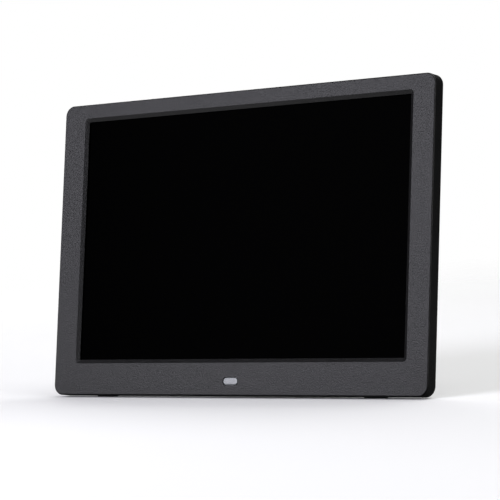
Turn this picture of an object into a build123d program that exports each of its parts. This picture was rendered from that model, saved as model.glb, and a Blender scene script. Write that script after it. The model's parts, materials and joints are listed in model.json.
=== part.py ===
from build123d import *

import os
from math import atan2, cos, radians, sin

os.makedirs("parts", exist_ok=True)

# A 10.1-inch tabletop photo frame that leans back on a fold-out leg. +Z is up, the display faces -Y,
# and the origin is on the table, under the middle of the whole object with its leg out.
# Places on the panel are given as (x, height up the panel, depth behind the front face).

# ---- Driving dimensions, mm and degrees ------------------------------------------------------
lean = 10.0  # the panel leans back this far from the vertical

panel_w = 250.0
panel_h = 166.0
rim_depth = 7.4
corner_r = 5.8
edge_r = 0.8
face_t = 1.6
wall_t = 1.8

border_left = 15.3
border_right = 13.1
border_top = 8.0
border_bottom = 17.8
slope_run = 2.1  # the sloped edge between the face and the window
slope_depth = 1.2
slope_corner_r = 2.2
window_corner_r = 0.3

eye_x = 0.5  # centre of the remote-control eye in the lower border
eye_y = 7.8
eye_w = 9.8
eye_h = 4.0
eye_corner_r = 1.7
eye_gap = 0.3
eye_crown_r = 0.45

gasket_t = 0.5
cell_t = 0.9  # glass display cell
guide_t = 1.6
tray_w = 229.5
tray_h = 149.1
tray_t = 3.0
tray_skin = 0.4
tray_rib_h = 0.3
tray_bottom = 11.2

cover_t = 1.6
cover_gap = 0.2
hump_w = 204.0
hump_bottom = 16.0
hump_top = 142.0
hump_corner_r = 16.0
hump_depth = 20.0
hump_wall = 1.8
hump_edge_r = 3.0

foot_l = 14.0
foot_x = 90.0
foot_front = 5.4
foot_back = 7.0
foot_proud = 0.3
foot_seat = 0.5  # depth of the shallow seat that holds each foot
foot_play = 0.1

hinge_y = 37.0  # hinge axis of the leg, up the panel
hinge_depth = 16.2
fold_angle = 110.0  # from folded against the back to standing
knuckle_r = 2.8
pin_r = 1.0
leg_half_root = 19.0
leg_half_tip = 13.0
leg_inner = 1.2  # the leg's faces, measured from the hinge axis
leg_outer = 3.0
leg_body_l = 64.0
leg_l = 69.5
recess_half = 20.0
recess_top = 110.0
recess_floor = 13.0
recess_wall = 1.6
stop_gap = 0.3

board_front = 8.6
board_t = 1.6
running_gap = 0.05

bay_x = 76.0  # inner wall of the port bay
bay_bottom = 57.0
bay_top = 128.5

button_names = ["power", "menu", "left", "enter", "right", "up", "down"]
button_pitch = 13.0
button_y = 121.0
button_w = 8.0
button_h = 4.2
button_corner_r = 1.0
power_r = 2.6  # the power button is round
button_proud = 1.0
button_gap = 0.2
button_travel = 0.4
keypad_front = 11.6
keypad_t = 1.2
switch_t = 3.5

# ---- Worked-out places -----------------------------------------------------------------------
sin_lean = sin(radians(lean))
cos_lean = cos(radians(lean))
droop = fold_angle - (90 - lean)  # the standing leg points this far below the horizontal
sin_droop = sin(radians(droop))
cos_droop = cos(radians(droop))

base_z = foot_proud * cos_lean + foot_back * sin_lean
hinge_back = hinge_y * sin_lean + hinge_depth * cos_lean
leg_back = hinge_back + leg_l * cos_droop + leg_inner * sin_droop
edge_back = edge_r * (sin_lean + cos_lean - 1)
front_y = -(leg_back + edge_back) / 2
hinge_point = (0, front_y + hinge_back, base_z + hinge_y * cos_lean - hinge_depth * sin_lean)

window_w = panel_w - border_left - border_right - 2 * slope_run
window_h = panel_h - border_top - border_bottom - 2 * slope_run
window_x = (border_left - border_right) / 2
window_y = border_bottom + slope_run + window_h / 2
display_front = face_t + gasket_t
tray_y = tray_bottom + tray_h / 2
tray_back = display_front + tray_t
flange_front = rim_depth - cover_t
hump_y = (hump_bottom + hump_top) / 2
hump_h = hump_top - hump_bottom
hump_rise = hump_depth - rim_depth
hump_inside = hump_depth - hump_wall
board_back = board_front + board_t
keypad_back = keypad_front + keypad_t
button_x = [button_pitch * (i - 3) for i in range(7)]

# the lower wall of the leg's recess stands just clear of the leg when it is out
fold_sin = sin(radians(fold_angle))
fold_cos = cos(radians(fold_angle))
leg_exit = (hump_depth - hinge_depth - leg_outer * fold_cos) / fold_sin
recess_bottom = hinge_y + leg_exit * fold_cos - leg_outer * fold_sin - stop_gap

panel = Plane(origin=(0, front_y, base_z), x_dir=(1, 0, 0), z_dir=(0, -cos_lean, sin_lean))
leg_plane = Plane(origin=hinge_point, x_dir=(1, 0, 0), z_dir=(0, sin_droop, cos_droop))
hinge_plane = Plane(origin=hinge_point, x_dir=(0, 1, 0), z_dir=(1, 0, 0))
front_axis = Axis((0, 0, 0), (0, -cos_lean, sin_lean))


def at_depth(depth):
    """Plane parallel to the front face; a negative extrusion from it goes towards the back."""
    return panel.offset(-depth)


def from_side(x):
    """Plane across the panel at x, with its sketches in (height up the panel, -depth)."""
    return Plane(origin=panel.from_local_coords((x, 0, 0)), x_dir=panel.y_dir, z_dir=panel.x_dir)


def from_above(y):
    """Plane across the panel at height y, with its sketches in (x, -depth)."""
    return Plane(origin=panel.from_local_coords((0, y, 0)), x_dir=panel.x_dir, z_dir=-panel.y_dir)


def block(x_range, y_range, depth_range):
    """A plain block between two x, two heights and two depths."""
    with BuildPart() as made:
        with BuildSketch(at_depth(depth_range[0])):
            with Locations((sum(x_range) / 2, sum(y_range) / 2)):
                Rectangle(x_range[1] - x_range[0], y_range[1] - y_range[0])
        extrude(amount=depth_range[0] - depth_range[1])
    return made.part


def discs(points, radius, depth_range, hole_r=0):
    """Round bars or tubes, square to the panel, one at each point."""
    with BuildPart() as made:
        with BuildSketch(at_depth(depth_range[0])):
            with Locations(*points):
                Circle(radius)
                if hole_r:
                    Circle(hole_r, mode=Mode.SUBTRACT)
        extrude(amount=depth_range[0] - depth_range[1])
    return made.part


def screws(points, head_r, head_range, shank_r, shank_end):
    """Cross-recess screws at the points, driven from head_range[0] towards shank_end."""
    slot_w = 0.25 * head_r
    slot_deep = 0.6 * (head_range[1] - head_range[0])
    with BuildPart() as made:
        add(discs(points, head_r, sorted(head_range)))
        add(discs(points, shank_r, sorted((head_range[1], shank_end))))
        with BuildSketch(at_depth(head_range[0])):
            with Locations(*points):
                Rectangle(1.3 * head_r, slot_w)
                Rectangle(slot_w, 1.3 * head_r)
        extrude(amount=slot_deep if head_range[0] > head_range[1] else -slot_deep, mode=Mode.SUBTRACT)
    return made.part


def frustum(wide, narrow):
    """Rounded slab that tapers between two (width, height, corner radius, depth) sections."""
    with BuildPart() as made:
        for width, height, radius, depth in (wide, narrow):
            with BuildSketch(at_depth(depth)):
                with Locations((0, hump_y)):
                    RectangleRounded(width, height, radius)
        loft(ruled=True)
    return made.part


# ---- Front bezel -----------------------------------------------------------------------------
boss_x = 119.4
bracket_y = (46.0, 120.0)
screw_points = [(x, y) for x in (-boss_x, boss_x) for y in (12.0, 83.0, 154.0)]
screw_points += [(-60.0, 6.2), (60.0, 6.2)]
bracket_points = [(x, y) for x in (-boss_x, boss_x) for y in bracket_y]
boss_r = 2.6
pilot_r = 0.95
pilot_front = face_t + 0.6
bracket_boss_top = 3.9
snap_x = [-84.0, -28.0, 28.0, 84.0]
snap_half = 4.0
snap_play = 0.4
rib_t = 1.0
rib_h = 2.1
rib_play = 0.3  # between the rib and the display tray, all round

with BuildPart() as front_bezel:
    with BuildSketch(panel):
        with Locations((0, panel_h / 2)):
            RectangleRounded(panel_w, panel_h, corner_r)
    extrude(amount=-rim_depth)
    fillet(front_bezel.faces().sort_by(front_axis)[-1].edges(), radius=edge_r)
    with BuildSketch(at_depth(face_t)):
        with Locations((0, panel_h / 2)):
            RectangleRounded(panel_w - 2 * wall_t, panel_h - 2 * wall_t, corner_r - wall_t)
    extrude(amount=face_t - rim_depth, mode=Mode.SUBTRACT)
    # sloped edge around the window, then its short straight land
    with BuildSketch(panel):
        with Locations((window_x, window_y)):
            RectangleRounded(window_w + 2 * slope_run, window_h + 2 * slope_run, slope_corner_r)
    with BuildSketch(at_depth(slope_depth)):
        with Locations((window_x, window_y)):
            RectangleRounded(window_w, window_h, window_corner_r)
    loft(ruled=True, mode=Mode.SUBTRACT)
    with BuildSketch(at_depth(slope_depth)):
        with Locations((window_x, window_y)):
            RectangleRounded(window_w, window_h, window_corner_r)
    extrude(amount=slope_depth - face_t, mode=Mode.SUBTRACT)
    # opening for the remote-control eye
    with BuildSketch(panel):
        with Locations((eye_x, eye_y)):
            RectangleRounded(eye_w + 2 * eye_gap, eye_h + 2 * eye_gap, eye_corner_r + eye_gap)
    extrude(amount=-face_t, mode=Mode.SUBTRACT)
    # rib that locates the display tray
    with BuildSketch(at_depth(face_t)):
        with Locations((window_x, tray_y)):
            Rectangle(tray_w + 2 * (rib_play + rib_t), tray_h + 2 * (rib_play + rib_t))
            Rectangle(tray_w + 2 * rib_play, tray_h + 2 * rib_play, mode=Mode.SUBTRACT)
        with Locations((eye_x, tray_bottom - 1)):
            Rectangle(26, 4, mode=Mode.SUBTRACT)
    extrude(amount=-rib_h)
    # screw bosses, and lower ones for the display brackets
    add(discs(screw_points, boss_r, (face_t, flange_front)))
    add(discs(screw_points, pilot_r, (pilot_front, flange_front)), mode=Mode.SUBTRACT)
    add(discs(bracket_points, boss_r, (face_t, bracket_boss_top)))
    add(discs(bracket_points, pilot_r, (pilot_front, bracket_boss_top)), mode=Mode.SUBTRACT)
    # pockets in the top wall for the rear cover's snap tabs
    for x in snap_x:
        half = snap_half + snap_play
        add(block((x - half, x + half), (panel_h - 2.4, panel_h - 1.1), (3.0, 4.6)), mode=Mode.SUBTRACT)
    # shallow seats for the rubber feet
    for x in (-foot_x, foot_x):
        seat = block((x - foot_l / 2, x + foot_l / 2), (-1, foot_seat), (foot_front, foot_back))
        add(seat, mode=Mode.SUBTRACT)

# ---- Display stack ---------------------------------------------------------------------------
with BuildPart() as display_gasket:
    with BuildSketch(at_depth(face_t)):
        with Locations((window_x, tray_y)):
            Rectangle(tray_w - 1.5, tray_h - 2.0)
        with Locations((window_x, window_y)):
            Rectangle(window_w + 2.0, window_h + 2.0, mode=Mode.SUBTRACT)
    extrude(amount=-gasket_t)

cell_w = window_w + 5.4
cell_h = window_h + 6.0
cell_x = (window_x - cell_w / 2, window_x + cell_w / 2)
cell_y = (window_y - cell_h / 2, window_y + cell_h / 2)
lcd_panel_part = block(cell_x, cell_y, (display_front, display_front + cell_t))
guide_front = display_front + cell_t + 0.05
light_guide_part = block(cell_x, cell_y, (guide_front, guide_front + guide_t))

with BuildPart() as lcd_tray:
    with BuildSketch(at_depth(display_front)):
        with Locations((window_x, tray_y)):
            RectangleRounded(tray_w, tray_h, 1.0)
    extrude(amount=-tray_t)
    with BuildSketch(at_depth(display_front)):
        with Locations((window_x, window_y)):
            Rectangle(cell_w + 0.4, cell_h + 0.4)
    extrude(amount=tray_skin - tray_t, mode=Mode.SUBTRACT)
    # pressed ribs in the sheet-metal back
    with BuildSketch(at_depth(tray_back)):
        with Locations((window_x, window_y)):
            with GridLocations(0, 110, 1, 2):
                SlotOverall(180, 3)
    extrude(amount=-tray_rib_h)

half_sheet = 0.15  # half the thickness of the brackets and of the flat cables
bracket_half = 4.0
with BuildPart() as lcd_brackets:
    for side in (-1, 1):
        tray_edge = window_x + side * tray_w / 2
        z_line = [
            (side * (boss_x + 2.4), -(bracket_boss_top + half_sheet)),
            (tray_edge + side * 1.6, -(bracket_boss_top + half_sheet)),
            (tray_edge + side * 0.6, -(tray_back + half_sheet)),
            (tray_edge - side * 4.0, -(tray_back + half_sheet)),
        ]
        for y in bracket_y:
            with BuildSketch(from_above(y)):
                with BuildLine():
                    path = Polyline(*z_line)
                    offset(path, amount=half_sheet)
                make_face()
            extrude(amount=bracket_half, both=True)
    add(discs(bracket_points, 1.1, (bracket_boss_top - 0.1, tray_back)), mode=Mode.SUBTRACT)

flex_x = -50.0
flex_half = 12.0
with BuildPart() as lcd_flex:
    with BuildSketch(from_side(flex_x)):
        with BuildLine():
            # flat behind the tray, past its rib, then up to the front of the display board
            flex_line = [(22, -tray_back - 0.45), (46, -tray_back - 0.45)]
            flex_line += [(58, -board_front + half_sheet), (70, -board_front + half_sheet)]
            path = Polyline(*flex_line)
            offset(path, amount=half_sheet)
        make_face()
    extrude(amount=flex_half, both=True)

# ---- Rear cover ------------------------------------------------------------------------------
slope_wall = hump_wall * 2**0.5
inset = 2 * (slope_wall - cover_t)
outer_wide = (hump_w, hump_h, hump_corner_r, rim_depth)
outer_narrow = (hump_w - 2 * hump_rise, hump_h - 2 * hump_rise, hump_corner_r - 6, hump_depth)
inner_fall = hump_inside - flange_front
inner_w = hump_w - inset
inner_h = hump_h - inset
inner_wide = (inner_w, inner_h, hump_corner_r - 1, flange_front)
inner_narrow = (inner_w - 2 * inner_fall, inner_h - 2 * inner_fall, hump_corner_r - 8, hump_inside)

recess_y = (recess_bottom, recess_top)
bay_y = (bay_bottom, bay_top)
walled_recess_x = (-recess_half - recess_wall, recess_half + recess_wall)
walled_recess_y = (recess_bottom - recess_wall, recess_top + recess_wall)
walled_bay_x = (bay_x - recess_wall, hump_w / 2)
walled_bay_y = (bay_bottom - recess_wall, bay_top + recess_wall)
screw_head_t = 1.0
lug_x = 25.0
lug_y = (hinge_y - 3.6, hinge_y + 3.6)

# the space inside the hump, kept off the walls of the leg's recess and of the port bay
with BuildPart() as cavity:
    add(frustum(inner_wide, inner_narrow))
    add(block(walled_recess_x, walled_recess_y, (recess_floor - recess_wall, hump_depth)), mode=Mode.SUBTRACT)
    for side in (-1, 1):
        lug = block(sorted((side * recess_half, side * lug_x)), lug_y, (recess_floor, hump_depth))
        add(lug, mode=Mode.SUBTRACT)
    add(block(walled_bay_x, walled_bay_y, (flange_front, hump_depth)), mode=Mode.SUBTRACT)

post_r = 2.6
main_posts = [(28.0, 63.0), (28.0, 109.0), (55.0, 63.0), (44.0, 109.0)]
display_posts = [(-70.5, 67.5), (-70.5, 104.5), (-29.5, 67.5), (-29.5, 104.5)]
keypad_posts = [(-32.5, button_y), (32.5, button_y)]
keypad_post_r = 1.6
speaker_points = [(-66.0, 42.0), (66.0, 42.0)]
keyholes = [(-62.0, 117.0, 0, 1), (62.0, 117.0, 0, 1), (-80.0, 66.0, -1, 0), (-80.0, 98.0, -1, 0)]
keyhole_r = 4.5
keyhole_slot_r = 2.1
keyhole_run = 5.5
vent_points = [(-50.0, 87.0), (48.0, 87.0)]
vent_pitch = 4.0
vent_l = 16.0
vent_w = 1.6
grille_hole_r = 0.75
grille_pitch = 2.7
usb_y = 90.0
card_y = 112.5
audio_y = 76.0
dc_y = 65.0
audio_mouth_r = 3.3
# openings in the bay's inner wall: height up the panel, depth behind the board, and size
port_mouths = [(usb_y, 3.4, 13.6, 6.2), (card_y, 1.5, 26.0, 3.2), (dc_y, 3.8, 9.2, 8.0)]

with BuildPart() as rear_cover:
    with BuildSketch(at_depth(flange_front)):
        with Locations((0, panel_h / 2)):
            trim = 2 * (wall_t + cover_gap)
            RectangleRounded(panel_w - trim, panel_h - trim, corner_r - wall_t - cover_gap)
    extrude(amount=-cover_t)
    add(frustum(outer_wide, outer_narrow))
    fillet(rear_cover.faces().sort_by(front_axis)[0].edges(), radius=hump_edge_r)
    add(block((-recess_half, recess_half), recess_y, (recess_floor, hump_depth + 1)), mode=Mode.SUBTRACT)
    add(block((bay_x, hump_w / 2 + 2), bay_y, (rim_depth, hump_depth + 1)), mode=Mode.SUBTRACT)
    add(cavity.part, mode=Mode.SUBTRACT)
    # hinge pin bore through the lugs
    with BuildSketch(hinge_plane.offset(-lug_x - 1)):
        Circle(pin_r + 0.01)
    extrude(amount=2 * lug_x + 2, mode=Mode.SUBTRACT)
    # board posts
    add(discs(main_posts + display_posts, post_r, (board_back, hump_inside)))
    add(discs(main_posts + display_posts, 0.9, (board_back, hump_inside - 1)), mode=Mode.SUBTRACT)
    add(discs(keypad_posts, keypad_post_r, (keypad_back, hump_inside)))
    add(discs(keypad_posts, 0.7, (keypad_back, hump_inside - 1)), mode=Mode.SUBTRACT)
    # button holes
    with BuildSketch(at_depth(hump_inside - 1)):
        for name, x in zip(button_names, button_x):
            with Locations((x, button_y)):
                if name == "power":
                    Circle(power_r + button_gap)
                else:
                    hole_size = (button_w + 2 * button_gap, button_h + 2 * button_gap)
                    RectangleRounded(*hole_size, button_corner_r + button_gap)
    extrude(amount=-hump_wall - 2, mode=Mode.SUBTRACT)
    # keyholes for wall screws, two for each way of hanging
    with BuildSketch(at_depth(hump_inside - 1)):
        for x, y, dx, dy in keyholes:
            with Locations((x, y)):
                Circle(keyhole_r)
            with Locations((x + dx * keyhole_run / 2, y + dy * keyhole_run / 2)):
                SlotCenterToCenter(keyhole_run, 2 * keyhole_slot_r, rotation=90 * abs(dy))
    extrude(amount=-hump_wall - 2, mode=Mode.SUBTRACT)
    # vents and speaker grilles
    with BuildSketch(at_depth(hump_inside - 1)):
        for point in vent_points:
            with Locations(point):
                with GridLocations(vent_pitch, vent_l + 4, 9, 2):
                    SlotOverall(vent_l, vent_w, rotation=90)
        for point in speaker_points:
            with Locations(point):
                Circle(grille_hole_r)
                for ring in (1, 2, 3):
                    with PolarLocations(grille_pitch * ring, 6 * ring):
                        Circle(grille_hole_r)
    extrude(amount=-hump_wall - 2, mode=Mode.SUBTRACT)
    # port openings in the bay's inner wall
    with BuildSketch(from_side(bay_x - recess_wall - 0.5)):
        for mouth_y, behind, mouth_w, mouth_h in port_mouths:
            with Locations((mouth_y, -board_back - behind)):
                Rectangle(mouth_w, mouth_h)
        with Locations((audio_y, -board_back - 3.2)):
            Circle(audio_mouth_r)
    extrude(amount=recess_wall + 1, mode=Mode.SUBTRACT)
    # counterbored holes for the housing screws
    add(discs(screw_points, 1.15, (flange_front - 1, rim_depth + 1)), mode=Mode.SUBTRACT)
    add(discs(screw_points, 2.1, (rim_depth - screw_head_t - 0.1, rim_depth + 1)), mode=Mode.SUBTRACT)
    # snap tabs along the top edge
    for x in snap_x:
        across = (x - snap_half, x + snap_half)
        add(block(across, (panel_h - 3.6, panel_h - 2.2), (2.8, flange_front)))
        add(block(across, (panel_h - 2.2, panel_h - 1.5), (3.2, 4.4)))

# ---- Boards and what is on them --------------------------------------------------------------
board_depth = (board_front, board_back)
board_hole_r = 1.2
with BuildPart() as main_board:
    add(block((24.0, 74.0), (58.6, 127.0), board_depth))
    add(discs(main_posts, board_hole_r, (board_front - 1, board_back + 1)), mode=Mode.SUBTRACT)

with BuildPart() as display_board:
    add(block((-74.0, -26.0), (64.0, 108.0), board_depth))
    add(discs(display_posts, board_hole_r, (board_front - 1, board_back + 1)), mode=Mode.SUBTRACT)

processor_t = 1.4
chip_t = 1.1
processor_part = block((35.0, 49.0), (79.0, 93.0), (board_back, board_back + processor_t))
display_chip_part = block((-56.0, -44.0), (80.0, 92.0), (board_back, board_back + chip_t))

sink_x = (33.0, 51.0)
sink_y = (77.0, 95.0)
sink_base_t = 1.2
fin_t = 1.0
fin_h = 3.4
fins = 7
with BuildPart() as heatsink:
    sink_front = board_back + processor_t
    fin_foot = sink_front + sink_base_t
    add(block(sink_x, sink_y, (sink_front, fin_foot)))
    for fin in range(fins):
        fin_x = sink_x[0] + fin * (sink_x[1] - sink_x[0] - fin_t) / (fins - 1)
        add(block((fin_x, fin_x + fin_t), sink_y, (fin_foot, fin_foot + fin_h)))

with BuildPart() as memory_chips:
    with BuildSketch(at_depth(board_back)):
        with Locations((31.0, 101.0), (41.0, 101.0)):
            Rectangle(8, 9.6)
    extrude(amount=-chip_t)

capacitor_points = [(56.0, 73.0 + 7.2 * i) for i in range(4)]
with BuildPart() as capacitors:
    add(discs(capacitor_points, 2.5, (board_back, board_back + 5.4)))
    fillet(capacitors.faces().sort_by(front_axis)[:4].edges(), radius=0.4)

cell_point = (40.0, 69.3)
coin_r = 6.25
coin_t = 2.0
coin_front = board_back + 0.6
with BuildPart() as cell_holder:
    add(block((32.5, 47.5), (62.5, 76.1), (board_back, board_back + 3.0)))
    add(discs([cell_point], coin_r + 0.1, (coin_front, coin_front + 4)), mode=Mode.SUBTRACT)
    # a finger's way in from both sides
    add(block((30.0, 50.0), (67.3, 71.3), (coin_front, coin_front + 4)), mode=Mode.SUBTRACT)
coin_cell_part = discs([cell_point], coin_r, (coin_front, coin_front + coin_t))

with BuildPart() as card_slot:
    add(block((46.9, 75.8), (98.5, 126.5), (board_back, board_back + 2.9)))
    add(block((50.0, 77.0), (card_y - 12.2, card_y + 12.2), (board_back + 0.4, board_back + 2.6)),
        mode=Mode.SUBTRACT)
    add(block((74.2, 77.0), (98.0, card_y - 12.8), (board_back - 1, board_back + 4)), mode=Mode.SUBTRACT)
    add(block((74.2, 77.0), (card_y + 12.8, 127.0), (board_back - 1, board_back + 4)), mode=Mode.SUBTRACT)

usb_depth = (board_back + 0.5, board_back + 6.3)
usb_inside = (usb_depth[0] + 0.4, usb_depth[1] - 0.4)
with BuildPart() as usb_port:
    add(block((61.8, 75.8), (usb_y - 6.6, usb_y + 6.6), usb_depth))
    add(block((62.6, 77.0), (usb_y - 6.2, usb_y + 6.2), usb_inside), mode=Mode.SUBTRACT)
    for y in (usb_y - 6.6, usb_y + 6.2):
        add(block((65.0, 67.0), (y, y + 0.4), (board_back, usb_depth[0] + 0.2)))
usb_tongue_part = block(
    (62.6, 74.6), (usb_y - 5.4, usb_y + 5.4), (usb_inside[0] + 0.2, usb_inside[0] + 2.0)
)

audio_r = 1.8
audio_depth = board_back + 3.2
audio_l = 13.0
with BuildPart() as audio_jack:
    add(block((62.4, 73.8), (audio_y - 3.2, audio_y + 3.2), (board_back, board_back + 6.4)))
    with BuildSketch(from_side(73.8)):
        with Locations((audio_y, -audio_depth)):
            Circle(3.0)
    extrude(amount=2.0)
    with BuildSketch(from_side(75.8 - audio_l)):
        with Locations((audio_y, -audio_depth)):
            Circle(audio_r)
    extrude(amount=audio_l, mode=Mode.SUBTRACT)

dc_depth = board_back + 4.0
with BuildPart() as dc_jack:
    add(block((61.4, 75.8), (dc_y - 4.4, dc_y + 4.4), (board_back, board_back + 7.6)))
    with BuildSketch(from_side(64.6)):
        with Locations((dc_y, -dc_depth)):
            Circle(2.95)
    extrude(amount=12, mode=Mode.SUBTRACT)
with BuildPart() as dc_pin:
    with BuildSketch(from_side(64.6)):
        with Locations((dc_y, -dc_depth)):
            Circle(1.0)
    extrude(amount=9.6)
    fillet(dc_pin.edges().sort_by(Axis.X)[-1], radius=0.6)

board_cable_part = block((-36.0, 31.0), (84.0, 98.0), (board_front - 0.3, board_front))

with BuildPart() as keypad_board:
    add(block((-46.0, 46.0), (button_y - 5.5, button_y + 5.5), (keypad_front, keypad_back)))
    add(discs(keypad_posts, 0.9, (keypad_front - 1, keypad_back + 1)), mode=Mode.SUBTRACT)

keypad_cable_x = 37.8
with BuildPart() as keypad_cable:
    with BuildSketch(from_side(keypad_cable_x)):
        with BuildLine():
            flat_line = [(118.2, -keypad_front + half_sheet), (115.0, -keypad_front + half_sheet)]
            flat_line += [(112.8, -board_back - half_sheet), (107.8, -board_back - half_sheet)]
            path = Polyline(*flat_line)
            offset(path, amount=half_sheet)
        make_face()
    extrude(amount=3, both=True)

button_points = [(x, button_y) for x in button_x]
plunger_r = 1.6
switch_back = keypad_back + switch_t
with BuildPart() as tact_switches:
    with BuildSketch(at_depth(keypad_back)):
        with Locations(*button_points):
            Rectangle(6, 6)
    extrude(amount=-switch_t)
    add(discs(button_points, plunger_r + 0.15, (keypad_back + 1.6, switch_back + 1)), mode=Mode.SUBTRACT)

# ---- Buttons: a cap in the cover and the switch plunger under it -----------------------------
cap_front = switch_back + 0.6
flange_t = 0.9
button_caps = {}
button_plungers = {}
for name, x in zip(button_names, button_x):
    with BuildPart() as cap:
        with BuildSketch(at_depth(cap_front)):
            with Locations((x, button_y)):
                RectangleRounded(button_w + 1.2, button_h + 1.6, 1.2)
        extrude(amount=-flange_t)
        with BuildSketch(at_depth(cap_front + flange_t)):
            with Locations((x, button_y)):
                if name == "power":
                    Circle(power_r)
                else:
                    RectangleRounded(button_w, button_h, button_corner_r)
        extrude(amount=cap_front + flange_t - hump_depth - button_proud)
        fillet(cap.faces().sort_by(front_axis)[0].edges(), radius=0.4)
    button_caps[f"{name}_button"] = cap.part
    plunger_range = (keypad_back + 1.6 + button_travel + 0.2, cap_front)
    button_plungers[f"{name}_plunger"] = discs([(x, button_y)], plunger_r, plunger_range)

# ---- Remote-control eye ----------------------------------------------------------------------
with BuildPart() as sensor_window:
    with BuildSketch(panel):
        with Locations((eye_x, eye_y)):
            RectangleRounded(eye_w, eye_h, eye_corner_r)
    extrude(amount=-face_t)
    fillet(sensor_window.faces().sort_by(front_axis)[-1].edges(), radius=eye_crown_r)
    # flange that holds it behind the bezel
    with BuildSketch(at_depth(face_t)):
        with Locations((eye_x, eye_y)):
            RectangleRounded(eye_w + 3.0, eye_h + 2.0, eye_corner_r)
    extrude(amount=-0.8)

sensor_back = 4.7
with BuildPart() as ir_receiver:
    with BuildSketch(at_depth(2.7)):
        with Locations((eye_x - 1.6, eye_y)):
            Rectangle(5.0, 3.6)
    extrude(amount=2.7 - sensor_back)
    with BuildSketch(at_depth(2.7)):
        with Locations((eye_x - 1.6, eye_y)):
            Circle(1.3)
    extrude(amount=0.25, taper=30)
status_led_part = block((eye_x + 2.4, eye_x + 4.0), (eye_y - 0.5, eye_y + 0.5), (4.1, sensor_back))
sensor_board_part = block((eye_x - 11, eye_x + 11), (2.8, 10.8), (sensor_back, sensor_back + 0.8))

# ---- Speakers --------------------------------------------------------------------------------
speaker_r = 12.0
speaker_back = hump_inside
basket_front = speaker_back - 4.6


def speaker_set(profile):
    """The profile, in (radius, -depth), turned into a ring at each speaker."""
    with BuildPart() as made:
        for x, y in speaker_points:
            with BuildSketch(from_above(y)):
                with Locations((x, 0)):
                    Polygon(*profile, align=None)
            centre = panel.from_local_coords((x, y, 0))
            revolve(axis=Axis(centre, tuple(panel.z_dir)))
    return made.part


speaker_frames_part = speaker_set([
    (10.2, -speaker_back), (speaker_r, -speaker_back), (speaker_r, -speaker_back + 1.2),
    (8.0, -basket_front), (6.0, -basket_front), (6.0, -basket_front - 0.8), (7.6, -basket_front - 0.8),
    (10.2, -speaker_back + 1.2),
])
speaker_cones_part = speaker_set([
    (0.0, -speaker_back + 2.0), (3.0, -speaker_back + 2.8), (9.9, -speaker_back + 0.9),
    (9.9, -speaker_back + 1.3), (3.0, -speaker_back + 3.2), (0.0, -speaker_back + 2.4),
])
speaker_magnets_part = discs(speaker_points, 6.5, (basket_front - 2.6, basket_front))

# ---- Fold-out leg ----------------------------------------------------------------------------
leg_sides = [
    (-leg_half_root, 0), (leg_half_root, 0), (leg_half_root, 12),
    (leg_half_tip, leg_body_l), (-leg_half_tip, leg_body_l), (-leg_half_root, 12),
]
pocket_in = 2.2
side_slope = atan2(leg_half_root - leg_half_tip, leg_body_l - 12)
with BuildPart() as stand_leg:
    with BuildSketch(leg_plane.offset(leg_inner)):
        Polygon(*leg_sides, align=None)
    extrude(amount=-leg_inner - leg_outer)
    with BuildSketch(hinge_plane.offset(-leg_half_root - 0.1)):
        Circle(knuckle_r)
    extrude(amount=2 * leg_half_root + 0.2)
    # hollow inner face, crossed by stiffening ribs
    with BuildSketch(leg_plane.offset(leg_inner)):
        rows = 4
        row_l = 11.6
        for row in range(rows):
            low = 6.0 + row * (row_l + 1.6)
            high = low + row_l
            half_low = leg_half_root - pocket_in - max(0, low - 12) * sin(side_slope)
            half_high = leg_half_root - pocket_in - max(0, high - 12) * sin(side_slope)
            Polygon((0.8, low), (half_low, low), (half_high, high), (0.8, high), align=None)
            Polygon((-0.8, low), (-0.8, high), (-half_high, high), (-half_low, low), align=None)
    extrude(amount=-2.4, mode=Mode.SUBTRACT)
    with BuildSketch(hinge_plane.offset(-leg_half_root - 1)):
        Circle(pin_r + running_gap)
    extrude(amount=2 * leg_half_root + 2, mode=Mode.SUBTRACT)

with BuildPart() as leg_pad:
    with BuildSketch(leg_plane.offset(leg_inner)):
        with Locations((0, (leg_body_l + leg_l) / 2)):
            Rectangle(2 * leg_half_tip, leg_l - leg_body_l)
    extrude(amount=-leg_inner - leg_outer - 2)
    split(bisect_by=Plane.XY, keep=Keep.TOP)
    with BuildSketch(leg_plane.offset(-leg_outer)):
        with Locations((0, (leg_body_l + leg_l) / 2)):
            Rectangle(2 * leg_half_tip + 1, leg_l - leg_body_l + 1)
    extrude(amount=-3, mode=Mode.SUBTRACT)
    fillet(leg_pad.edges().filter_by(Axis(leg_plane.origin, leg_plane.z_dir)).sort_by(Axis.Y)[-2:],
           radius=2.5)

pin_half = 27.0
with BuildPart() as hinge_pin:
    with BuildSketch(hinge_plane.offset(-pin_half)):
        Circle(pin_r)
    extrude(amount=2 * pin_half)
    chamfer(hinge_pin.edges(), length=0.2)


def hinge_rings(x_from, x_to, outer_r, inner_r):
    """A ring on the hinge axis at each end of the leg."""
    with BuildPart() as made:
        for start in (x_from, -x_to):
            with BuildSketch(hinge_plane.offset(start)):
                Circle(outer_r)
                Circle(inner_r, mode=Mode.SUBTRACT)
            extrude(amount=x_to - x_from)
    return made.part


hinge_washers_part = hinge_rings(recess_half - 0.55, recess_half - 0.15, 2.6, pin_r + 0.06)
pin_clips_part = hinge_rings(lug_x + 0.1, lug_x + 0.7, 1.9, pin_r + 0.01)

# ---- Feet and screws -------------------------------------------------------------------------
with BuildPart() as rubber_feet:
    for x in (-foot_x, foot_x):
        half = foot_l / 2 - foot_play
        add(block((x - half, x + half), (-3, foot_seat), (foot_front + foot_play, foot_back)))
    split(bisect_by=Plane.XY, keep=Keep.TOP)

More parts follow.
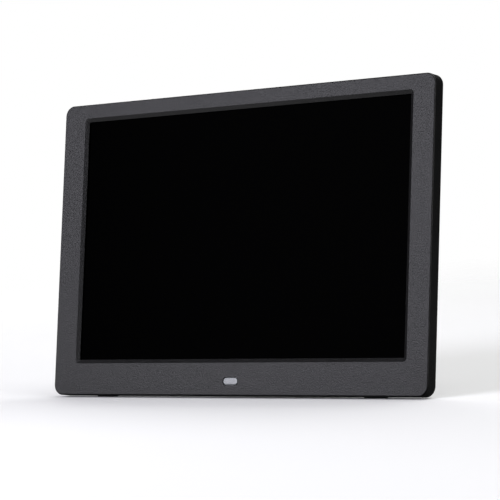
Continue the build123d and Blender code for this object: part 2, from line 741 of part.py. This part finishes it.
screw_end = 2.4
housing_head = (rim_depth - 0.1, rim_depth - 0.1 - screw_head_t)
bracket_head = (bracket_boss_top + 2 * half_sheet + screw_head_t, bracket_boss_top + 2 * half_sheet)
housing_screws_part = screws(screw_points, 1.9, housing_head, 0.93, screw_end)
bracket_screws_part = screws(bracket_points, 1.6, bracket_head, 0.93, screw_end)
with BuildPart() as board_screws:
    add(screws(main_posts + display_posts, 2.0, (board_front - 1.2, board_front), 0.88, board_back + 5))
    add(screws(keypad_posts, 1.6, (keypad_front - 1.0, keypad_front), 0.68, keypad_back + 4))

# ---- Every piece, written under its own name -------------------------------------------------
pieces = {
    "front_bezel": front_bezel.part,
    "rear_cover": rear_cover.part,
    "display_gasket": display_gasket.part,
    "lcd_panel": lcd_panel_part,
    "light_guide": light_guide_part,
    "lcd_tray": lcd_tray.part,
    "lcd_brackets": lcd_brackets.part,
    "bracket_screws": bracket_screws_part,
    "lcd_flex": lcd_flex.part,
    "main_board": main_board.part,
    "processor": processor_part,
    "heatsink": heatsink.part,
    "memory_chips": memory_chips.part,
    "capacitors": capacitors.part,
    "cell_holder": cell_holder.part,
    "coin_cell": coin_cell_part,
    "card_slot": card_slot.part,
    "usb_port": usb_port.part,
    "usb_tongue": usb_tongue_part,
    "audio_jack": audio_jack.part,
    "dc_jack": dc_jack.part,
    "dc_pin": dc_pin.part,
    "display_board": display_board.part,
    "display_chip": display_chip_part,
    "board_cable": board_cable_part,
    "keypad_board": keypad_board.part,
    "keypad_cable": keypad_cable.part,
    "tact_switches": tact_switches.part,
    **button_caps,
    **button_plungers,
    "sensor_window": sensor_window.part,
    "ir_receiver": ir_receiver.part,
    "status_led": status_led_part,
    "sensor_board": sensor_board_part,
    "speaker_frames": speaker_frames_part,
    "speaker_cones": speaker_cones_part,
    "speaker_magnets": speaker_magnets_part,
    "stand_leg": stand_leg.part,
    "leg_pad": leg_pad.part,
    "hinge_pin": hinge_pin.part,
    "hinge_washers": hinge_washers_part,
    "pin_clips": pin_clips_part,
    "rubber_feet": rubber_feet.part,
    "housing_screws": housing_screws_part,
    "board_screws": board_screws.part,
}
for name, piece in pieces.items():
    piece.label = name
    export_step(piece, f"parts/{name}.step")
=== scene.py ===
"""Looks of the digital photo frame, made round its CAD model. Metres, +Z up, front towards -Y."""

import json
from math import cos, inf, pi, radians, sin

import bpy
import bmesh
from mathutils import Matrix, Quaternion, Vector


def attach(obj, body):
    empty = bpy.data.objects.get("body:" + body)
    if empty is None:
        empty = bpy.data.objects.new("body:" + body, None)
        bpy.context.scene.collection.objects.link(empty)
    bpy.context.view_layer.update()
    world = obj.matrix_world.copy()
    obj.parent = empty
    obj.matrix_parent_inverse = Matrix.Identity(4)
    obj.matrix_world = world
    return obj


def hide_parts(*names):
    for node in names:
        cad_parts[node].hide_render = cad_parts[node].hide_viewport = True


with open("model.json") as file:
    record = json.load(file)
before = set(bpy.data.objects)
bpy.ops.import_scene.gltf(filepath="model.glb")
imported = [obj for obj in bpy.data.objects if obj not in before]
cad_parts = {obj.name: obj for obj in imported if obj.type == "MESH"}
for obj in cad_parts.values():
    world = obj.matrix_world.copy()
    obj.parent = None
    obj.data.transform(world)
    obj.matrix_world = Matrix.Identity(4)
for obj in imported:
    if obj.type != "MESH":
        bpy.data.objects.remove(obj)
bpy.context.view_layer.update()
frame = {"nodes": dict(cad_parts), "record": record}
nodes = frame["nodes"]

MM = 0.001
LEAN = radians(10)  # the panel leans back this far

# ---- Panel frame: right, up along the panel, and out of its front ------------------------------
RIGHT = Vector((1, 0, 0))
UP = Vector((0, sin(LEAN), cos(LEAN)))
OUT = Vector((0, -cos(LEAN), sin(LEAN)))


def front_origin():
    """Bottom middle of the front face's plane, from the bezel's own vertices."""
    points = [v.co for v in nodes["front_bezel"].data.vertices]
    front = max(p.dot(OUT) for p in points)
    bottom = min(p.dot(UP) for p in points)
    return front * OUT + bottom * UP


ORIGIN = front_origin()


def on_panel(x, up, depth):
    """A point given in mm across the panel, up it, and behind its front face."""
    return ORIGIN + MM * (x * RIGHT + up * UP - depth * OUT)


def panel_spans(node, shallower=inf):
    """Ranges in mm across the panel, up it and behind its face, of a CAD node's shallower vertices."""
    rows = []
    for vertex in nodes[node].data.vertices:
        offset = vertex.co - ORIGIN
        row = (offset.dot(RIGHT) / MM, offset.dot(UP) / MM, -offset.dot(OUT) / MM)
        if row[2] < shallower:
            rows.append(row)
    return [(min(column), max(column)) for column in zip(*rows)]


# ---- Camera, in degrees, metres and mm of lens -------------------------------------------------
VIEW_AZIMUTH = 36.48
VIEW_ELEVATION = 2.12
VIEW_ROLL = -4.0
VIEW_DISTANCE = 1.1903
LENS = 159.67
SENSOR_WIDTH = 36
VIEW_TARGET = on_panel(10.69, 78.27, 0)


def make_camera():
    azimuth, elevation = radians(VIEW_AZIMUTH), radians(VIEW_ELEVATION)
    back = Vector((sin(azimuth) * cos(elevation), -cos(azimuth) * cos(elevation), sin(elevation)))
    data = bpy.data.cameras.new("camera")
    data.lens = LENS
    data.sensor_width = SENSOR_WIDTH
    data.clip_start, data.clip_end = 0.05, 60
    camera = bpy.data.objects.new("camera", data)
    bpy.context.scene.collection.objects.link(camera)
    camera.rotation_mode = "QUATERNION"
    camera.location = VIEW_TARGET + VIEW_DISTANCE * back
    aim = (-back).to_track_quat("-Z", "Y")
    camera.rotation_quaternion = aim @ Quaternion((0, 0, 1), radians(VIEW_ROLL))
    bpy.context.scene.camera = camera


make_camera()


# ---- Materials ---------------------------------------------------------------------------------
NOISE_LOW, NOISE_HIGH = 0.3, 0.7  # nearly all of a noise's values lie between these
COLOUR_LOW, COLOUR_HIGH = 0.32, 0.68  # and of a blend of noises between these
ROUGHNESS_SPREAD = 0.05
PATCH_SIZE = 40  # mm, the slow change of shade across a moulding
STREAK_RATIO = 14  # length over width of a brushed metal's streaks


class Look:
    """A procedural material in the making: a Principled shader, and the object's own coordinates."""

    def __init__(self, name, **sockets):
        self.material = bpy.data.materials.new(name)
        self.material.use_nodes = True
        self.tree = self.material.node_tree
        self.shader = self.tree.nodes["Principled BSDF"]
        for socket, value in sockets.items():
            self.shader.inputs[socket.replace("_", " ")].default_value = value
        self.coords = self.tree.nodes.new("ShaderNodeTexCoord").outputs["Object"]
        self.normal = None

    def node(self, kind, **inputs):
        made = self.tree.nodes.new(kind)
        for name, value in inputs.items():
            socket = made.inputs[name]
            if isinstance(value, bpy.types.NodeSocket):
                self.tree.links.new(value, socket)
            else:
                socket.default_value = value
        return made

    def link(self, output, socket):
        """Joins an output to one of the shader's own sockets."""
        self.tree.links.new(output, self.shader.inputs[socket])
        return self

    def noise(self, size, detail=2.0, roughness=0.5, coords=None, distortion=0.0):
        """Noise whose blotches are about size mm across."""
        made = self.node("ShaderNodeTexNoise", Scale=1 / (size * MM), Detail=detail,
                         Roughness=roughness, Distortion=distortion)
        self.tree.links.new(coords or self.coords, made.inputs["Vector"])
        return made.outputs["Fac"]

    def ramp(self, source, *stops):
        """source, from 0 to 1, turned into colours or greys at the stops (position, value)."""
        made = self.tree.nodes.new("ShaderNodeValToRGB")
        self.tree.links.new(source, made.inputs["Fac"])
        elements = made.color_ramp.elements
        while len(elements) < len(stops):
            elements.new(1.0)
        for element, (position, value) in zip(elements, stops):
            element.position = position
            colour = (value,) * 3 if isinstance(value, (int, float)) else tuple(value)
            element.color = (*colour, 1)
        return made.outputs["Color"]

    def blend(self, first, second, share):
        """Share of the second value, and the rest of the first."""
        made = self.node("ShaderNodeMix", Factor=share)
        self.tree.links.new(first, made.inputs["A"])
        self.tree.links.new(second, made.inputs["B"])
        return made.outputs["Result"]

    def bump(self, height, depth, strength=1.0):
        """Adds relief of about depth mm to what the surface already has."""
        made = self.node("ShaderNodeBump", Height=height, Distance=depth * MM, Strength=strength)
        if self.normal is not None:
            self.tree.links.new(self.normal, made.inputs["Normal"])
        self.normal = made.outputs["Normal"]
        self.tree.links.new(self.normal, self.shader.inputs["Normal"])
        return self


def tinted(colour, share):
    """The colour made lighter or darker."""
    return tuple(min(1.0, c * share) for c in colour)


def moulded(name, colour, roughness, grain=0.45, relief=0.02, spread=0.12, specular=0.5, mottle=1.3,
            sheen=0.08):
    """Injection-moulded plastic: a fine spark-eroded grain over a softer mottle.

    grain, mottle and relief are in mm. spread is how far the colour varies, as a share of itself, and sheen
    how far the specular level does.
    """
    look = Look(name)
    fine = look.noise(grain, detail=2.0, roughness=0.6)
    blotch = look.noise(mottle, detail=3.0, roughness=0.65)
    broad = look.noise(PATCH_SIZE, detail=1.5)
    texture = look.blend(look.blend(fine, blotch, 0.6), broad, 0.25)
    low, high = tinted(colour, 1 - spread), tinted(colour, 1 + spread)
    look.link(look.ramp(texture, (COLOUR_LOW, low), (COLOUR_HIGH, high)), "Base Color")
    low, high = roughness - ROUGHNESS_SPREAD, roughness + ROUGHNESS_SPREAD
    look.link(look.ramp(blotch, (NOISE_LOW, low), (NOISE_HIGH, high)), "Roughness")
    low, high = specular * (1 - sheen), specular * (1 + sheen)
    look.link(look.ramp(blotch, (NOISE_LOW, low), (NOISE_HIGH, high)), "Specular IOR Level")
    look.bump(fine, relief)
    look.bump(blotch, relief * mottle / grain)
    return look.material


def metal(name, colour, roughness, brushed=True):
    """Bare metal, with streaks along X where it is brushed."""
    look = Look(name, Metallic=1.0)
    streaks = look.node("ShaderNodeMapping", Vector=look.coords)
    streaks.inputs["Scale"].default_value = (1, STREAK_RATIO, STREAK_RATIO) if brushed else (1, 1, 1)
    grain = look.noise(1.5, detail=4.0, coords=streaks.outputs["Vector"])
    shades = look.ramp(grain, (NOISE_LOW, tinted(colour, 0.85)), (NOISE_HIGH, tinted(colour, 1.1)))
    look.link(shades, "Base Color")
    look.link(look.ramp(grain, (NOISE_LOW, roughness - 0.08), (NOISE_HIGH, roughness + 0.1)), "Roughness")
    return look.bump(grain, depth=0.004).material


def paint_all():
    """One finish for each of the record's material slots, given to every CAD node of that slot."""
    looks = {
        "bezel_plastic": moulded("bezel_plastic", (0.0025, 0.0024, 0.0026), 0.4, grain=0.3, relief=0.075,
                                 spread=0.6, specular=0.24, mottle=0.7, sheen=0.24),
        "cover_plastic": moulded("cover_plastic", (0.05, 0.05, 0.053), 0.46, grain=0.5, relief=0.03,
                                 spread=0.2),
        "button_plastic": moulded("button_plastic", (0.03, 0.03, 0.032), 0.4, grain=0.3, relief=0.006),
        "switch_plastic": moulded("switch_plastic", (0.015, 0.015, 0.016), 0.35, relief=0.004),
        "foam": moulded("foam", (0.02, 0.02, 0.02), 0.9, grain=0.5, relief=0.08, specular=0.1),
        "display_glass": moulded("display_glass", (0.0001, 0.0001, 0.00012), 0.3, grain=0.12,
                                 relief=0.0004, specular=0.0012),
        "acrylic": moulded("acrylic", (0.75, 0.77, 0.78), 0.2, relief=0.003),
        "sheet_steel": metal("sheet_steel", (0.55, 0.56, 0.57), 0.32),
        "screw_steel": metal("screw_steel", (0.09, 0.09, 0.095), 0.38, brushed=False),
        "flat_cable": moulded("flat_cable", (0.45, 0.24, 0.06), 0.3, relief=0.003),
        "circuit_board": moulded("circuit_board", (0.015, 0.11, 0.04), 0.3, relief=0.006),
        "chip_plastic": moulded("chip_plastic", (0.02, 0.02, 0.021), 0.55, relief=0.01),
        "heatsink_aluminium": metal("heatsink_aluminium", (0.35, 0.36, 0.37), 0.4),
        "capacitor_can": metal("capacitor_can", (0.6, 0.6, 0.62), 0.3, brushed=False),
        "socket_plastic": moulded("socket_plastic", (0.02, 0.02, 0.021), 0.45, relief=0.008),
        "plated_brass": metal("plated_brass", (0.7, 0.68, 0.62), 0.25, brushed=False),
        "eye_silver": moulded("eye_silver", (0.148, 0.156, 0.16), 0.22, grain=0.2, relief=0.003, spread=0.06,
                              specular=0.3),
        "led_lens": moulded("led_lens", (0.7, 0.72, 0.75), 0.15, relief=0.001),
        "paper_cone": moulded("paper_cone", (0.02, 0.02, 0.021), 0.85, grain=0.3, relief=0.03, specular=0.2),
        "foot_rubber": moulded("foot_rubber", (0.012, 0.012, 0.013), 0.75, grain=0.3, relief=0.02,
                               specular=0.3),
    }
    for subpart in frame["record"]["subparts"]:
        mesh = nodes[subpart["node"]].data
        mesh.materials.clear()
        mesh.materials.append(looks[subpart["material_slot"]])
    return looks


looks = paint_all()


# ---- Pieces made here --------------------------------------------------------------------------
def add_piece(name, mesh, body, slot, smooth_angle=None):
    """Links a finished mesh as a piece that rides on the body, in that slot's finish."""
    piece = bpy.data.objects.new(name, mesh)
    bpy.context.scene.collection.objects.link(piece)
    mesh.materials.append(looks[slot])
    if smooth_angle is not None:
        mesh.polygons.foreach_set("use_smooth", [True] * len(mesh.polygons))
        mesh.set_sharp_from_angle(angle=smooth_angle)
    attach(piece, body)
    return piece


def rounded_outline(width, height, radius, steps=8):
    """Points round a rectangle with round corners, in mm about its own middle."""
    points = []
    for quarter, (sx, sy) in enumerate(((1, 1), (-1, 1), (-1, -1), (1, -1))):
        for step in range(steps + 1):
            angle = (quarter + step / steps) * pi / 2
            points.append((sx * (width / 2 - radius) + radius * cos(angle),
                           sy * (height / 2 - radius) + radius * sin(angle)))
    return points


def make_eye():
    """The window over the remote-control receiver: a crowned lozenge with a flange behind the bezel."""
    flange_depth = 1.2  # the CAD window's flange is deeper than this
    least_r = 0.15
    across, up = panel_spans("sensor_window", shallower=flange_depth)[:2]
    width, height = across[1] - across[0], up[1] - up[0]
    centre_x, centre_up = sum(across) / 2, sum(up) / 2
    corner_r = 0.49 * height
    # (inset from the outline, depth behind the face) from the back of the flange to the crown
    profile = [(-1.3, 2.3), (-1.4, 2.2), (-1.4, 1.75), (-1.3, 1.65), (0.04, 1.62), (0.04, 0.38), (0.07, 0.22),
               (0.15, 0.09), (0.27, 0.0), (0.42, -0.04), (0.7, -0.055), (1.1, -0.06), (1.6, -0.06)]
    shape = bmesh.new()
    rings = []
    for inset, depth in profile:
        outline = rounded_outline(width - 2 * inset, height - 2 * inset, max(least_r, corner_r - inset))
        rings.append([shape.verts.new(on_panel(centre_x + x, centre_up + y, depth)) for x, y in outline])
    for back, front in zip(rings, rings[1:]):
        for i in range(len(back)):
            j = (i + 1) % len(back)
            shape.faces.new((back[i], back[j], front[j], front[i]))
    shape.faces.new(rings[0][::-1])
    shape.faces.new(rings[-1])
    bmesh.ops.recalc_face_normals(shape, faces=shape.faces)
    mesh = bpy.data.meshes.new("eye_window")
    shape.to_mesh(mesh)
    shape.free()
    eye = add_piece("eye_window", mesh, "housing", "eye_silver", smooth_angle=radians(50))
    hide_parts("sensor_window")


def ring_sector(outer, inner, start, stop, steps=24):
    """Outline of a flat ring from one angle to another, in mm."""
    sweep = [start + (stop - start) * i / steps for i in range(steps + 1)]
    edge = [(outer * cos(a), outer * sin(a)) for a in sweep]
    return edge + [(inner * cos(a), inner * sin(a)) for a in reversed(sweep)]


def bar(x, y, width, height):
    """Outline of a rectangle about the point x, y, in mm."""
    return [(x - width / 2, y - height / 2), (x + width / 2, y - height / 2),
            (x + width / 2, y + height / 2), (x - width / 2, y + height / 2)]


def symbol_outlines():
    """Plain marks for the keys, in mm with x to the frame's right and y up the panel."""
    arrow = [(1.05, 0.0), (-0.6, 0.95), (-0.6, -0.95)]

    def turned(quarters):
        c, n = round(cos(quarters * pi / 2)), round(sin(quarters * pi / 2))
        return [[(c * x - n * y, n * x + c * y) for x, y in arrow]]

    return {
        "power": [ring_sector(1.15, 0.9, radians(130), radians(410)), bar(0, 0.75, 0.26, 1.1)],
        "menu": [bar(0, y, 2.0, 0.3) for y in (-0.75, 0, 0.75)],
        "left": turned(2),
        "enter": [ring_sector(1.0, 0.7, 0, 2 * pi)],
        "right": turned(0),
        "up": turned(1),
        "down": turned(3),
    }


def make_symbols():
    """A thin raised print on each key's cap."""
    print_t = 0.05  # mm above the cap
    sunk = 0.02  # mm into it
    for key, outlines in symbol_outlines().items():
        across, up, behind = panel_spans(f"{key}_button")
        centre_x, centre_up, cap_depth = sum(across) / 2, sum(up) / 2, behind[1]
        shape = bmesh.new()
        for outline in outlines:
            layers = [[shape.verts.new(on_panel(centre_x + x, centre_up + y, depth)) for x, y in outline]
                      for depth in (cap_depth - sunk, cap_depth + print_t)]
            for i in range(len(outline)):
                j = (i + 1) % len(outline)
                shape.faces.new((layers[0][i], layers[0][j], layers[1][j], layers[1][i]))
            for layer in layers:
                shape.faces.new(layer)
        bmesh.ops.recalc_face_normals(shape, faces=shape.faces)
        mesh = bpy.data.meshes.new(f"{key}_symbol")
        shape.to_mesh(mesh)
        shape.free()
        add_piece(f"{key}_symbol", mesh, f"{key}_key", "eye_silver")


make_eye()
make_symbols()


# ---- Floor, backdrop and lights ----------------------------------------------------------------
FLOOR_RADIUS = 1.5
FADE_START = 0.16  # the floor is solid out to here
FADE_END = 0.95 * FLOOR_RADIUS
FLOOR_BOUNCE = 0.1
KEY_TINT = (0.97, 0.96, 1.06)
BACKDROP = 1.0
AMBIENT = 0.04
CARD_HEIGHT = 0.002
CARD_RADIANCE = 1.05


def make_floor():
    """A pale table top that fades into the backdrop well away from the frame."""
    mesh = bpy.data.meshes.new("floor")
    shape = bmesh.new()
    bmesh.ops.create_circle(shape, cap_ends=True, segments=96, radius=FLOOR_RADIUS)
    shape.to_mesh(mesh)
    shape.free()
    floor = bpy.data.objects.new("floor", mesh)
    bpy.context.scene.collection.objects.link(floor)
    look = Look("floor_paper", Specular_IOR_Level=0.0, Roughness=0.9)
    paper = look.ramp(look.noise(400, detail=1.0), (0.2, (0.69, 0.69, 0.69)), (0.8, (0.71, 0.71, 0.71)))
    # other rays find it darker, as over a grey table with a lit sheet on it
    dim = look.node("ShaderNodeMix")
    dim.data_type = "RGBA"
    dim.inputs["A"].default_value = (FLOOR_BOUNCE, FLOOR_BOUNCE, FLOOR_BOUNCE, 1)
    look.tree.links.new(look.node("ShaderNodeLightPath").outputs["Is Camera Ray"], dim.inputs["Factor"])
    look.tree.links.new(paper, dim.inputs["B"])
    look.link(dim.outputs["Result"], "Base Color")
    reach = look.node("ShaderNodeVectorMath", Vector=look.coords)
    reach.operation = "LENGTH"
    fade = look.node("ShaderNodeMapRange", Value=reach.outputs["Value"])
    fade.interpolation_type = "SMOOTHSTEP"
    spans = {"From Min": FADE_START, "From Max": FADE_END, "To Min": 1.0, "To Max": 0.0}
    for socket, value in spans.items():
        fade.inputs[socket].default_value = value
    look.link(fade.outputs["Result"], "Alpha")
    mesh.materials.append(look.material)


def area_light(name, width, height, radiance, location, facing, tint=(1, 1, 1)):
    """A rectangular light of that radiance, which the camera doesn't see."""
    data = bpy.data.lights.new(name, "AREA")
    data.shape = "RECTANGLE"
    data.size, data.size_y = width, height
    data.energy = radiance * pi * width * height
    data.color = tint
    light = bpy.data.objects.new(name, data)
    bpy.context.scene.collection.objects.link(light)
    light.location = location
    light.rotation_mode = "QUATERNION"
    light.rotation_quaternion = facing.to_track_quat("-Z", "Y")
    light.visible_camera = False


def softbox(name, azimuth, elevation, distance, width, height, radiance, aim, tint=(1, 1, 1)):
    """An area light in that direction and at that distance from the point aim, facing it."""
    a, e = radians(azimuth), radians(elevation)
    direction = Vector((sin(a) * cos(e), -cos(a) * cos(e), sin(e)))
    area_light(name, width, height, radiance, aim + distance * direction, -direction, tint)


def make_backdrop():
    """White to the camera, and nearly dark to everything else."""
    scene = bpy.context.scene
    scene.view_settings.view_transform = "Standard"
    scene.view_settings.look = "None"
    world = bpy.data.worlds.new("studio")
    scene.world = world
    world.use_nodes = True
    tree = world.node_tree
    tree.nodes.clear()
    out = tree.nodes.new("ShaderNodeOutputWorld")
    mix = tree.nodes.new("ShaderNodeMixShader")
    seen = tree.nodes.new("ShaderNodeBackground")
    ambient = tree.nodes.new("ShaderNodeBackground")
    rays = tree.nodes.new("ShaderNodeLightPath")
    seen.inputs["Color"].default_value = (1, 1, 1, 1)
    seen.inputs["Strength"].default_value = BACKDROP
    ambient.inputs["Color"].default_value = (0.95, 0.97, 1, 1)
    ambient.inputs["Strength"].default_value = AMBIENT
    tree.links.new(rays.outputs["Is Camera Ray"], mix.inputs[0])
    tree.links.new(ambient.outputs[0], mix.inputs[1])
    tree.links.new(seen.outputs[0], mix.inputs[2])
    tree.links.new(mix.outputs[0], out.inputs["Surface"])


def light_stage():
    """Softboxes round the frame, and white cards that face up from the table in front and behind."""
    middle = on_panel(0, 80, 0)
    # azimuth and elevation in degrees, then distance, width and height in metres, and radiance
    softbox("key", -28, 20, 1.6, 0.9, 0.9, 11.6, middle, KEY_TINT)
    softbox("overhead", 100, 68, 1.7, 1.3, 1.3, 3.5, middle)
    softbox("fill", 70, 14, 1.8, 0.3, 0.5, 14.0, middle)
    softbox("side", 94, 14, 1.6, 0.7, 0.7, 2.7, middle)
    softbox("rear", 180, 60, 1.6, 1.4, 0.8, 3.0, middle)
    softbox("rear_side", -125, 20, 1.7, 0.9, 0.9, 5.0, middle)
    for name, x, y, size in (("card", -0.17, -0.24, 0.36), ("rear_card", -0.02, 0.3, 0.34)):
        area_light(name, size, size, CARD_RADIANCE, Vector((x, y, CARD_HEIGHT)), Vector((0, 0, 1)))


make_floor()
make_backdrop()
light_stage()
